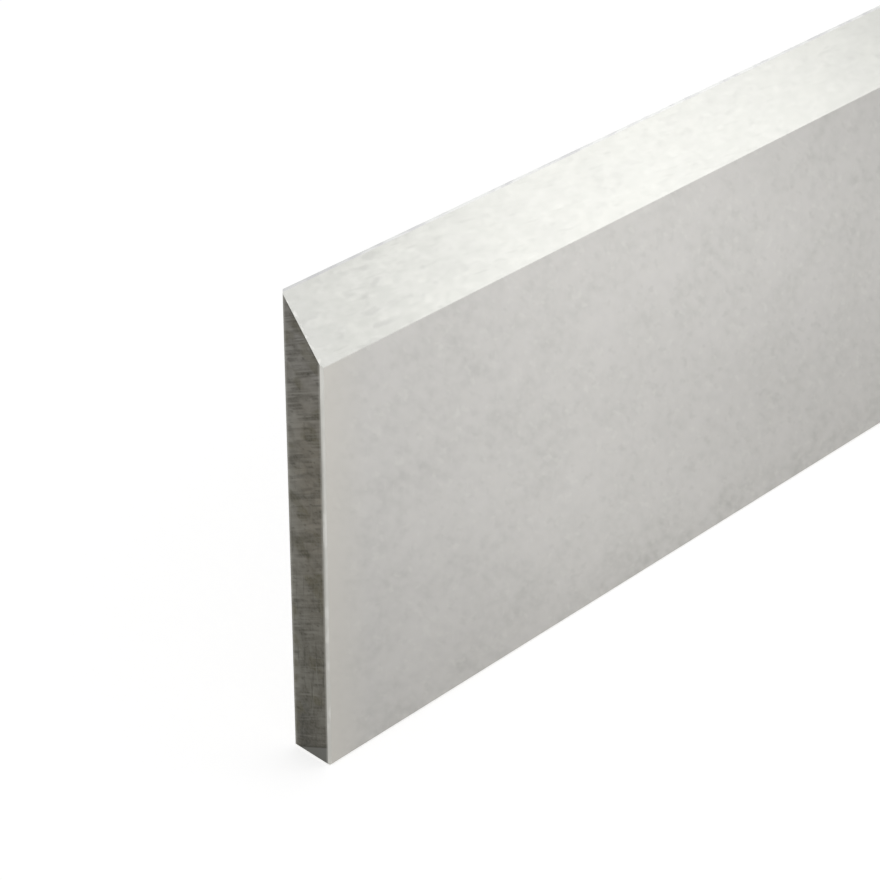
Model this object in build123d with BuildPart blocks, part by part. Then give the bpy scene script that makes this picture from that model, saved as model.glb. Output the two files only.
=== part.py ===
from build123d import *
from math import cos, radians, sin
import os

# Planer knife: one hardened steel bar with a single ground bevel. It stands on its back edge, cutting edge up.
# X runs along the knife, +Y is the back face and +Z points from the back edge to the cutting edge.
# The origin is the middle of the back edge. Millimetres and degrees.

length = 310.0
width = 30.0  # from the back edge to the cutting edge
thickness = 3.0  # between the two wide faces
bevel_angle = 40.0  # between the bevel and the back face
land_width = 0.15  # honed land that runs along the cutting edge
land_rise = 6.0  # how much steeper than the bevel the land is honed
edge_break = 0.15  # the flat that takes the sharpness off the ends and the back edge

# The land leaves the cutting edge at this angle to the back face, and the bevel starts where the land ends.
land_angle = bevel_angle + land_rise
cutting_edge = Vector(0, thickness / 2, width)
land_foot = cutting_edge - land_width * Vector(0, sin(radians(land_angle)), cos(radians(land_angle)))


def grinding_plane(touching, angle):
    """A plane along the knife, through a point and tilted by an angle from the back face."""
    outwards = (0, -cos(radians(angle)), sin(radians(angle)))
    return Plane(origin=touching, x_dir=(1, 0, 0), z_dir=outwards)


with BuildPart() as knife:
    # The bar, ground parallel on both wide faces and square at its ends
    with BuildSketch(Plane.YZ):
        Rectangle(thickness, width, align=(Align.CENTER, Align.MIN))
    extrude(amount=length / 2, both=True)

    # Every edge is broken except those along the top, where the grinding comes afterwards
    handled_edges = knife.edges().filter_by(lambda edge: edge.center().Z < width)
    chamfer(handled_edges, length=edge_break)

    # The bevel takes the top off from the front face up to the land, and the land meets the back face in the edge
    split(bisect_by=grinding_plane(land_foot, bevel_angle), keep=Keep.BOTTOM)
    split(bisect_by=grinding_plane(cutting_edge, land_angle), keep=Keep.BOTTOM)

knife.part.label = "knife"

os.makedirs("parts", exist_ok=True)
export_step(knife.part, "parts/knife.step")
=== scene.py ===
import math

import bpy
from mathutils import Matrix, Vector


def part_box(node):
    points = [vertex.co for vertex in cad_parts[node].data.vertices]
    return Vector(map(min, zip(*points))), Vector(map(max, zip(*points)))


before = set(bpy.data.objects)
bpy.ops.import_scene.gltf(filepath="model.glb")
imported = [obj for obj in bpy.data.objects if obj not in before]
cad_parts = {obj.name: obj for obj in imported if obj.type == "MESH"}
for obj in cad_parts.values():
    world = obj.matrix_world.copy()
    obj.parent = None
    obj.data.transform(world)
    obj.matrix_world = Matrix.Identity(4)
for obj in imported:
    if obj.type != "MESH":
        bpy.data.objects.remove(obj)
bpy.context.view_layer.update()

# The knife is one flat bar of hardened high-speed steel. A wheel cuts it to length, its wide faces, back
# edge and bevel are ground, and its cutting edge is honed last. Nothing is fixed to it: it is clamped in
# the cutter head.
MM = 0.001
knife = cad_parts["knife"]
near_corner, far_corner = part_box("knife")

# Ground high-speed steel is a pale, slightly warm grey metal. Grinding leaves it satin, so it mirrors the
# room as soft light and shade. Each kind of face was made another way, so each has a finish of its own.
steel = bpy.data.materials.new("ground_high_speed_steel")
steel.use_nodes = True
steel_nodes = steel.node_tree
steel_nodes.nodes.clear()


def linear(hex_colour):
    """An sRGB hex colour as linear red, green and blue, with alpha 1."""
    channels = [int(hex_colour[start : start + 2], 16) / 255 for start in (1, 3, 5)]
    return [c / 12.92 if c <= 0.04045 else ((c + 0.055) / 1.055) ** 2.4 for c in channels] + [1.0]


def add_node(tree, kind, inputs, **settings):
    """A node with its settings. Each input is given as a value, or as the output that it is linked to."""
    node = tree.nodes.new(kind)
    for name, value in settings.items():
        setattr(node, name, value)
    for socket, value in inputs.items():
        if isinstance(value, bpy.types.NodeSocket):
            tree.links.new(value, node.inputs[socket])
        else:
            node.inputs[socket].default_value = value
    return node


coordinates = steel_nodes.nodes.new("ShaderNodeTexCoord")
in_mm = add_node(
    steel_nodes,
    "ShaderNodeVectorMath",
    {0: coordinates.outputs["Object"], "Scale": 1 / MM},
    operation="SCALE",
).outputs[0]
along_mm, through_mm, up_mm = add_node(steel_nodes, "ShaderNodeSeparateXYZ", {0: in_mm}).outputs


def in_from_sides(place_mm, half_size):
    """The distance in millimetres in from the nearer of two opposite sides of the knife."""
    past_the_middle = add_node(steel_nodes, "ShaderNodeMath", {0: place_mm}, operation="ABSOLUTE").outputs[0]
    return add_node(
        steel_nodes,
        "ShaderNodeMath",
        {0: half_size / MM, 1: past_the_middle},
        operation="SUBTRACT",
    ).outputs[0]


from_end_mm = in_from_sides(along_mm, far_corner.x)
from_wide_face_mm = in_from_sides(through_mm, far_corner.y)


def marks(size, shown, at_most=1.0, detail=1.0, turn=(0.0, 0.0, 0.0)):
    """Uneven marks of a size in millimetres along X, Y and Z, before any turn. They rise from 0 to at_most
    between the two levels of noise in shown. Noise is about 0.5 all over, so high levels leave few marks."""
    placed = add_node(
        steel_nodes,
        "ShaderNodeMapping",
        {"Vector": in_mm, "Rotation": turn, "Scale": size},
        vector_type="TEXTURE",
    ).outputs[0]
    noise = add_node(
        steel_nodes,
        "ShaderNodeTexNoise",
        {"Vector": placed, "Scale": 1.0, "Detail": detail},
    ).outputs["Fac"]
    return add_node(
        steel_nodes,
        "ShaderNodeMapRange",
        {"Value": noise, "From Min": shown[0], "From Max": shown[1], "To Max": at_most},
    ).outputs[0]


def rises(distance, start, full, at_most=1.0, at_least=0.0):
    """At_least up to start, at_most from full on, and even between them. Both are distances in millimetres,
    and full may be the smaller one."""
    return add_node(
        steel_nodes,
        "ShaderNodeMapRange",
        {"Value": distance, "From Min": start, "From Max": full, "To Min": at_least, "To Max": at_most},
    ).outputs[0]


def laid_over(ground, where, colour, **others):
    """A finish with another colour, and any other roughness or height in millimetres, laid over it. Where is
    the share that covers it, 0 to 1."""
    result = dict(ground)
    inputs = {"Factor": where, 6: ground["colour"], 7: colour}
    result["colour"] = add_node(steel_nodes, "ShaderNodeMix", inputs, data_type="RGBA").outputs[2]
    for quality, value in others.items():
        inputs = {"Factor": where, 2: ground[quality], 3: value}
        result[quality] = add_node(steel_nodes, "ShaderNodeMix", inputs, data_type="FLOAT").outputs[0]
    return result


# Broken edges: a narrow flat that a stone leaves, paler than the faces beside it. It is rubbed in places,
# darker low down with painted shade, dull where it runs out into the end, and has a few glints.
rubs = marks(size=(0.6, 0.6, 0.9), shown=(0.40, 0.66), at_most=0.4)
# Painted shade: the edge darker low down.
low_down = rises(up_mm, start=17.0, full=5.0, at_most=0.8)
clear_of_foot = rises(up_mm, start=3.0, full=14.0, at_most=0.45)
half_way_up = rises(up_mm, start=25.0, full=20.0, at_most=clear_of_foot)
run_out = rises(from_end_mm, start=0.08, full=0.02, at_most=half_way_up)
glints = marks(size=(0.4, 0.4, 1.0), shown=(0.56, 0.68), at_most=0.3)
finish = {"colour": linear("#E0DFD9"), "roughness": 0.40, "height": 0.0}
finish = laid_over(finish, rubs, colour=linear("#CFCEC8"), roughness=0.45)
finish = laid_over(finish, low_down, colour=linear("#CBCAC4"))
finish = laid_over(finish, run_out, colour=linear("#75746D"))
finish = laid_over(finish, glints, colour=linear("#F4F3EE"))

# Wide faces: the even satin of a fine cup wheel, which scatters light softly, in patches that lean across
# the face. The grain of the wheel is under 0.05 mm and is drawn at about 0.5 mm, as coarse as it needs to
# show. Painted shade makes the faces a touch darker at the foot and near the ends.
WHEEL_LEAN = math.radians(40.0)
SHADE_PAINTED_FROM = 22.0
SHADE_PAINTED_FULLY_FROM = 10.0
lean = (0.0, WHEEL_LEAN, 0.0)
# Painted shade: the faces darker near the ends and at the foot.
painted_shade_near_ends = rises(from_end_mm, start=SHADE_PAINTED_FROM, full=SHADE_PAINTED_FULLY_FROM, at_most=0.6)
painted_shade_at_foot = rises(up_mm, start=4.0, full=1.0, at_most=0.55)
broad_patches = marks(size=(3.6, 3.6, 3.6), shown=(0.3, 0.7), at_most=0.8, detail=2.0)
patches = marks(size=(1.4, 0.8, 0.8), shown=(0.34, 0.66), at_most=0.5, turn=lean)
grain = marks(size=(0.85, 0.5, 0.5), shown=(0.34, 0.66), at_most=0.62, detail=1.5, turn=lean)
wide = {"colour": linear("#C3C2BE"), "roughness": 0.39, "height": 0.0}
wide = laid_over(wide, painted_shade_near_ends, colour=linear("#B9B8B5"))
wide = laid_over(wide, painted_shade_at_foot, colour=linear("#B4B3AF"))
wide = laid_over(wide, broad_patches, colour=linear("#CECCC9"))
wide = laid_over(wide, patches, colour=linear("#D1CFCB"))
wide = laid_over(wide, grain, colour=linear("#D0CECB"), roughness=0.42, height=0.001)

# Handling left dark and light flecks and faint upright rubs on the wide faces. Their ends have a paler,
# warmer rim.
dark_flecks = marks(size=(0.95, 0.6, 0.5), shown=(0.61, 0.77), at_most=0.35, turn=lean)
light_flecks = marks(size=(0.90, 0.6, 0.46), shown=(0.61, 0.75), at_most=0.36, turn=lean)
upright_rubs = marks(size=(0.22, 0.4, 1.0), shown=(0.66, 0.78), at_most=0.2)
# Painted shade near the ends, laid again over the marks.
painted_shade_near_ends_over_marks = rises(from_end_mm, start=SHADE_PAINTED_FROM, full=SHADE_PAINTED_FULLY_FROM, at_most=0.1)
pale_rim = rises(from_end_mm, start=3.2, full=0.3, at_most=0.75)
wide = laid_over(wide, dark_flecks, colour=linear("#BBBAB6"))
wide = laid_over(wide, light_flecks, colour=linear("#D7D6D1"))
wide = laid_over(wide, upright_rubs, colour=linear("#D7D6D1"))
wide = laid_over(wide, painted_shade_near_ends_over_marks, colour=linear("#B9B8B5"))
wide = laid_over(wide, pale_rim, colour=linear("#D0CDC6"))


def faces_towards(direction):
    """1 on the faces that point within 2 degrees of a direction, 0 on the others."""
    likeness = add_node(
        steel_nodes,
        "ShaderNodeVectorMath",
        {0: coordinates.outputs["Normal"], 1: direction},
        operation="DOT_PRODUCT",
    ).outputs["Value"]
    return add_node(
        steel_nodes,
        "ShaderNodeMath",
        {0: likeness, 1: math.cos(math.radians(2.0))},
        operation="GREATER_THAN",
    ).outputs[0]


for side in (-1, 1):
    finish = laid_over(finish, faces_towards((0, side, 0)), **wide)

# Back edge: ground lengthways. Its lines run along the knife and are drawn 0.16 mm wide, as coarse as they
# need to show.
lines_along = marks(size=(9.0, 0.16, 1.0), shown=(0.34, 0.66), detail=2.0)
back_edge = {"colour": linear("#B8B5AE"), "roughness": 0.40, "height": 0.0}
back_edge = laid_over(back_edge, lines_along, colour=linear("#CBC8C2"), roughness=0.46, height=0.003)
finish = laid_over(finish, faces_towards((0, 0, -1)), **back_edge)

# Ends: cut to length with an abrasive wheel and left alone, so they are dark and dull, with brown and olive
# burn stains. Partly burn and partly painted shade and light make them darker in the lower half, darkest at
# the foot and paler at the top; they are also paler towards the back face. The lines of the wheel cross them
# at a slant and are as wide as its grit, 0.16 to 0.34 mm.
WHEEL_SLANT = math.radians(-26.0)
slant = (WHEEL_SLANT, 0.0, 0.0)
back_side = rises(through_mm, start=0.0, full=1.3, at_most=0.9)
off_the_back = rises(through_mm, start=1.4, full=0.5, at_most=0.55)
stain_and_shade_low = rises(up_mm, start=16.0, full=8.0, at_most=off_the_back)
top = rises(up_mm, start=21.0, full=27.0, at_most=0.9)
clear_of_back = rises(through_mm, start=1.4, full=0.8, at_most=0.85)
clear_of_faces = rises(through_mm, start=-0.8, full=0.4, at_most=clear_of_back)
stain_and_shade_at_foot = rises(up_mm, start=5.0, full=2.5, at_most=clear_of_faces)
brown_stains = marks(size=(1.3, 1.0, 0.9), shown=(0.42, 0.66), at_most=0.45, detail=2.0)
olive_stains = marks(size=(2.0, 1.6, 1.1), shown=(0.54, 0.64), at_most=0.45)
broad_lines = marks(size=(1.0, 4.0, 0.30), shown=(0.42, 0.62), at_most=0.25, detail=2.0, turn=slant)
deep_lines = marks(size=(1.0, 2.4, 0.34), shown=(0.56, 0.66), at_most=0.3, turn=slant)
in_places = marks(size=(1.0, 1.3, 0.9), shown=(0.46, 0.58), at_most=0.5)
fine_lines = marks(size=(1.0, 12.0, 0.16), shown=(0.42, 0.58), at_most=in_places, turn=slant)
pale_lines = marks(size=(1.0, 3.0, 0.20), shown=(0.58, 0.72), at_most=0.4, turn=slant)
cut = {"colour": linear("#888378"), "roughness": 0.58, "height": 0.0}
cut = laid_over(cut, back_side, colour=linear("#97968F"))
# Partly burn stain, partly painted shade and light: darker low down, darkest at the foot, paler at the top.
cut = laid_over(cut, stain_and_shade_low, colour=linear("#6A6B65"))
cut = laid_over(cut, top, colour=linear("#918F8B"))
cut = laid_over(cut, stain_and_shade_at_foot, colour=linear("#4E4D48"))
cut = laid_over(cut, brown_stains, colour=linear("#5C584E"))
cut = laid_over(cut, olive_stains, colour=linear("#625E48"), roughness=0.64)
cut = laid_over(cut, broad_lines, colour=linear("#545047"), height=-0.006)
cut = laid_over(cut, deep_lines, colour=linear("#4A473E"), height=-0.010)
cut = laid_over(cut, fine_lines, colour=linear("#4E4B43"), height=-0.006)
cut = laid_over(cut, pale_lines, colour=linear("#918F87"))

# Rubs up and down the lower part of the ends come from handling, and small gouges and a fine grain all over
# them from the grit of the wheel.
more_low_down = rises(up_mm, start=22.0, full=8.0, at_most=0.35)
most_at_the_foot = rises(up_mm, start=22.0, full=4.0, at_most=0.5)
pale_rubs = marks(size=(1.0, 0.26, 1.8), shown=(0.58, 0.72), at_most=more_low_down)
dark_rubs = marks(size=(1.0, 0.26, 2.2), shown=(0.60, 0.68), at_most=most_at_the_foot)
gouges = marks(size=(0.8, 0.5, 0.22), shown=(0.64, 0.76), at_most=0.4, turn=slant)
grit = marks(size=(0.16, 0.16, 0.16), shown=(0.34, 0.66), at_most=0.25)
cut = laid_over(cut, pale_rubs, colour=linear("#86857D"))
cut = laid_over(cut, dark_rubs, colour=linear("#45443C"))
cut = laid_over(cut, gouges, colour=linear("#3E3D34"), height=-0.008)
cut = laid_over(cut, grit, colour=linear("#86847C"), roughness=0.5)

# The ends carry a painted shadow in places right under the burr of the bevel, and their long corners are
# worn pale. At the very foot, where the bar parted, lies a cleaner wedge with a dark line over it.
up_facing = [face for face in knife.data.polygons if face.normal.z > 0.5]
bevel_face = max(up_facing, key=lambda face: face.area)
bevel_normal = bevel_face.normal.copy()
towards_bevel_mm = add_node(
    steel_nodes,
    "ShaderNodeVectorMath",
    {0: in_mm, 1: bevel_normal},
    operation="DOT_PRODUCT",
).outputs["Value"]
under_bevel_mm = add_node(
    steel_nodes,
    "ShaderNodeMath",
    {0: bevel_normal.dot(bevel_face.center) / MM, 1: towards_bevel_mm},
    operation="SUBTRACT",
).outputs[0]
across_lines_mm = add_node(
    steel_nodes,
    "ShaderNodeVectorMath",
    {0: in_mm, 1: (0.0, -math.sin(WHEEL_SLANT), math.cos(WHEEL_SLANT))},
    operation="DOT_PRODUCT",
).outputs["Value"]
close_to_bevel = rises(under_bevel_mm, start=0.16, full=0.04, at_most=0.35)
painted_burr_shadow = marks(size=(0.5, 0.5, 0.5), shown=(0.44, 0.60), at_most=close_to_bevel)
line_over_wedge = rises(across_lines_mm, start=0.72, full=0.60, at_most=0.6)
wedge = rises(across_lines_mm, start=0.60, full=0.52, at_most=0.85)
worn_corners = rises(from_wide_face_mm, start=0.33, full=0.14, at_most=0.55)
# Painted shadow under the bevel's burr.
cut = laid_over(cut, painted_burr_shadow, colour=linear("#45443E"))
cut = laid_over(cut, line_over_wedge, colour=linear("#45443C"))
cut = laid_over(cut, wedge, colour=linear("#7A7A75"), roughness=0.5, height=0.0)
cut = laid_over(cut, worn_corners, colour=linear("#C8C7C1"))
for side in (-1, 1):
    finish = laid_over(finish, faces_towards((side, 0, 0)), **cut)

# Bevel: ground last with a cup wheel, brighter and smoother than the faces. It is mottled and spotted, more
# so near the ends. A painted highlight makes it paler along the ends, brightest in beads on the burr that
# the wheel left there. Its faint scratches lean a little from the line of the edge and are drawn 0.2 mm
# wide, as coarse as they need to show.
SCRATCH_LEAN = math.radians(8.0)
UNEVEN_FROM = 13.0
MOST_UNEVEN_FROM = 7.0
scratch_way = Matrix.Rotation(-SCRATCH_LEAN, 3, bevel_normal) @ Vector((1, 0, 0))
across_scratch = bevel_normal.cross(scratch_way)
scratch_turn = Matrix((scratch_way, across_scratch, bevel_normal)).transposed().to_euler()
clouds = marks(size=(3.4, 1.8, 1.8), shown=(0.3, 0.7), at_most=0.6, detail=2.0)
mottled = rises(from_end_mm, start=UNEVEN_FROM, full=MOST_UNEVEN_FROM, at_most=0.45, at_least=0.25)
pale_mottle = marks(size=(1.65, 0.9, 0.85), shown=(0.34, 0.66), at_most=mottled, turn=scratch_turn)
dark_mottle = marks(size=(0.92, 0.5, 0.52), shown=(0.36, 0.64), at_most=mottled, turn=scratch_turn)
scratches = marks(size=(1.4, 0.2, 1.0), shown=(0.62, 0.76), at_most=0.18, turn=scratch_turn)
spotted = rises(from_end_mm, start=UNEVEN_FROM, full=MOST_UNEVEN_FROM, at_most=0.35, at_least=0.15)
pale_spots = marks(size=(1.15, 0.55, 0.6), shown=(0.58, 0.72), at_most=spotted, turn=scratch_turn)
dark_spots = marks(size=(1.03, 0.50, 0.58), shown=(0.58, 0.74), at_most=spotted, turn=scratch_turn)
# Painted highlight along the ends, brightest in beads on the burr.
painted_highlight_along_ends = rises(from_end_mm, start=1.8, full=0.6, at_most=0.25)
at_the_end = rises(from_end_mm, start=0.26, full=0.12, at_most=0.42)
burr = marks(size=(0.3, 0.35, 0.35), shown=(0.50, 0.62), at_most=at_the_end)
bevel = {"colour": linear("#BABAB6"), "roughness": 0.25, "height": 0.0}
bevel = laid_over(bevel, clouds, colour=linear("#C1C1BC"))
bevel = laid_over(bevel, pale_mottle, colour=linear("#C4C4C0"))
bevel = laid_over(bevel, dark_mottle, colour=linear("#B6B7B2"), roughness=0.28, height=-0.0006)
bevel = laid_over(bevel, scratches, colour=linear("#A6A7A2"))
bevel = laid_over(bevel, pale_spots, colour=linear("#CBCBC6"))
bevel = laid_over(bevel, dark_spots, colour=linear("#A4A4A1"))
bevel = laid_over(bevel, painted_highlight_along_ends, colour=linear("#C6C6C3"))
bevel = laid_over(bevel, burr, colour=linear("#E2E1DE"))
finish = laid_over(finish, faces_towards(bevel_normal), **bevel)

# Honed land: the last strokes of a fine stone along the cutting edge. It is steeper than the bevel and
# mirrors less of the softboxes, so it shows as a thin greyer line, uneven, and duller near the ends.
land_face = max(up_facing, key=lambda face: face.normal.z)
strokes = marks(size=(1.2, 0.4, 0.4), shown=(0.46, 0.66), at_most=0.8, detail=2.0)
duller = rises(from_end_mm, start=9.0, full=4.0, at_most=0.5)
land = {"colour": linear("#DCDDDB"), "roughness": 0.24, "height": 0.0}
land = laid_over(land, strokes, colour=linear("#C6C6C7"), roughness=0.28)
land = laid_over(land, duller, colour=linear("#BABABB"))
finish = laid_over(finish, faces_towards(land_face.normal.copy()), **land)

relief = add_node(steel_nodes, "ShaderNodeBump", {"Height": finish["height"], "Distance": MM})
shader = add_node(
    steel_nodes,
    "ShaderNodeBsdfPrincipled",
    {
        "Base Color": finish["colour"],
        "Metallic": 1.0,
        "Roughness": finish["roughness"],
        "Normal": relief.outputs[0],
    },
)
add_node(steel_nodes, "ShaderNodeOutputMaterial", {"Surface": shader.outputs[0]})
knife.data.materials.clear()
knife.data.materials.append(steel)

# The card is a sheet of matt white board that the knife stands on. The camera sees it as white and the steel
# as nearly white, and its own glow is weak enough to leave the knife's soft shadow on it.
CARD_SIZE = 4.0
GLOW_TO_CAMERA = 0.60
GLOW_IN_STEEL = 0.36
bpy.ops.object.select_all(action="DESELECT")
bpy.ops.mesh.primitive_plane_add(size=CARD_SIZE, location=(0, 0, near_corner.z))
card = bpy.context.object
card.name = "white_card"
card_material = bpy.data.materials.new("matt_white_card")
card_material.use_nodes = True
card_nodes = card_material.node_tree
card_nodes.nodes.clear()
rays = card_nodes.nodes.new("ShaderNodeLightPath").outputs
mirrored = add_node(card_nodes, "ShaderNodeMath", {0: rays["Is Glossy Ray"], 1: rays["Is Transmission Ray"]})
mirrored_glow = add_node(
    card_nodes,
    "ShaderNodeMath",
    {0: mirrored.outputs[0], 1: GLOW_IN_STEEL},
    operation="MULTIPLY",
)
card_glow = add_node(
    card_nodes,
    "ShaderNodeMath",
    {0: rays["Is Camera Ray"], 1: GLOW_TO_CAMERA, 2: mirrored_glow.outputs[0]},
    operation="MULTIPLY_ADD",
)
card_light = add_node(card_nodes, "ShaderNodeEmission", {"Strength": card_glow.outputs[0]})
card_face = add_node(card_nodes, "ShaderNodeBsdfDiffuse", {"Color": linear("#E7E7E7")})
card_sum = add_node(card_nodes, "ShaderNodeAddShader", {0: card_face.outputs[0], 1: card_light.outputs[0]})
add_node(card_nodes, "ShaderNodeOutputMaterial", {"Surface": card_sum.outputs[0]})
card.data.materials.append(card_material)

# The white surround lights the knife evenly and softly from all round. The camera and the steel see it as
# full white.
SURROUND_LIGHT = 0.52
SURROUND_WHITE = 1.0
surround = bpy.data.worlds.new("white_surround")
surround.use_nodes = True
surround_nodes = surround.node_tree
surround_nodes.nodes.clear()
rays = surround_nodes.nodes.new("ShaderNodeLightPath").outputs
mirrored = add_node(
    surround_nodes,
    "ShaderNodeMath",
    {0: rays["Is Glossy Ray"], 1: rays["Is Transmission Ray"]},
)
seen = add_node(
    surround_nodes,
    "ShaderNodeMath",
    {0: rays["Is Camera Ray"], 1: mirrored.outputs[0]},
    use_clamp=True,
)
surround_level = add_node(
    surround_nodes,
    "ShaderNodeMapRange",
    {"Value": seen.outputs[0], "To Min": SURROUND_LIGHT, "To Max": SURROUND_WHITE},
)
surround_light = add_node(
    surround_nodes,
    "ShaderNodeBackground",
    {"Color": linear("#FFFFFF"), "Strength": surround_level.outputs[0]},
)
add_node(surround_nodes, "ShaderNodeOutputWorld", {"Surface": surround_light.outputs[0]})
bpy.context.scene.world = surround

# Two softboxes face the near part of the bevel, which mirrors them to the camera. The lower one is nearer
# and brighter.
LIT_PAST_THE_END = 28 * MM
LIT_HEIGHT = 28 * MM
lit_place = Vector((near_corner.x + LIT_PAST_THE_END, 0, LIT_HEIGHT))


def direction_from(azimuth, elevation):
    """The direction from the knife at an azimuth and elevation in degrees. Azimuth 0 is in front of it, and
    90 past its far end."""
    level = math.cos(math.radians(elevation))
    across = Vector((math.sin(math.radians(azimuth)), -math.cos(math.radians(azimuth))))
    return Vector((across.x * level, across.y * level, math.sin(math.radians(elevation))))


def add_softbox(name, azimuth, elevation, distance, side, brightness):
    """A square softbox that faces the lit place. Brightness is how much it outshines the white surround."""
    light = bpy.data.lights.new(name, "AREA")
    light.shape = "SQUARE"
    light.size = side
    light.energy = brightness * math.pi * side * side
    softbox = bpy.data.objects.new(name, light)
    towards = direction_from(azimuth, elevation)
    facing = towards.to_track_quat("Z", "Y").to_matrix().to_4x4()
    softbox.matrix_world = Matrix.Translation(lit_place + distance * towards) @ facing
    softbox.visible_camera = False
    bpy.context.scene.collection.objects.link(softbox)


add_softbox("high_softbox", azimuth=46.0, elevation=32.0, distance=322 * MM, side=120 * MM, brightness=0.305)
add_softbox("low_softbox", azimuth=50.0, elevation=25.0, distance=160 * MM, side=60 * MM, brightness=0.863)

# Two downlights hang over the card in front of the knife. Their pools on it throw light back up at the
# lower part of the front face.
DOWNLIGHT_HEIGHT = 300 * MM
DOWNLIGHT_LAMP_RADIUS = 10 * MM
DOWNLIGHT_SOFT_EDGE = 0.9


def add_downlight(name, past_the_end, in_front, pool_radius, watts):
    """A lamp over the card that lights a soft round pool on it. The middle of the pool is given along the
    knife from its near end, and in front of it."""
    light = bpy.data.lights.new(name, "SPOT")
    light.energy = watts
    light.spot_size = 2 * math.atan(pool_radius / DOWNLIGHT_HEIGHT)
    light.spot_blend = DOWNLIGHT_SOFT_EDGE
    light.shadow_soft_size = DOWNLIGHT_LAMP_RADIUS
    downlight = bpy.data.objects.new(name, light)
    downlight.location = (near_corner.x + past_the_end, -in_front, near_corner.z + DOWNLIGHT_HEIGHT)
    bpy.context.scene.collection.objects.link(downlight)


add_downlight("near_downlight", past_the_end=30 * MM, in_front=20 * MM, pool_radius=20 * MM, watts=1.0)
add_downlight("far_downlight", past_the_end=60 * MM, in_front=50 * MM, pool_radius=35 * MM, watts=2.7)

# The camera stands off the near end, to its left and above it, so the far end runs out of the picture.
AIM_PAST_THE_END = 8.96 * MM
AIM_HEIGHT = 18.07 * MM
CAMERA_AZIMUTH = -46.09
CAMERA_ELEVATION = 31.96
CAMERA_DISTANCE = 160.55 * MM
CAMERA_ROLL = math.radians(0.25)
camera_data = bpy.data.cameras.new("camera")
camera_data.lens = 117.72
camera_data.sensor_width = 36.0
camera_data.clip_start = 10 * MM
camera = bpy.data.objects.new("camera", camera_data)
camera_aim = Vector((near_corner.x + AIM_PAST_THE_END, near_corner.y, AIM_HEIGHT))
camera_way = direction_from(CAMERA_AZIMUTH, CAMERA_ELEVATION)
camera.matrix_world = (
    Matrix.Translation(camera_aim + CAMERA_DISTANCE * camera_way)
    @ (-camera_way).to_track_quat("-Z", "Y").to_matrix().to_4x4()
    @ Matrix.Rotation(CAMERA_ROLL, 4, "Z")
)
bpy.context.scene.collection.objects.link(camera)
bpy.context.scene.camera = camera
bpy.context.scene.view_settings.view_transform = "Standard"
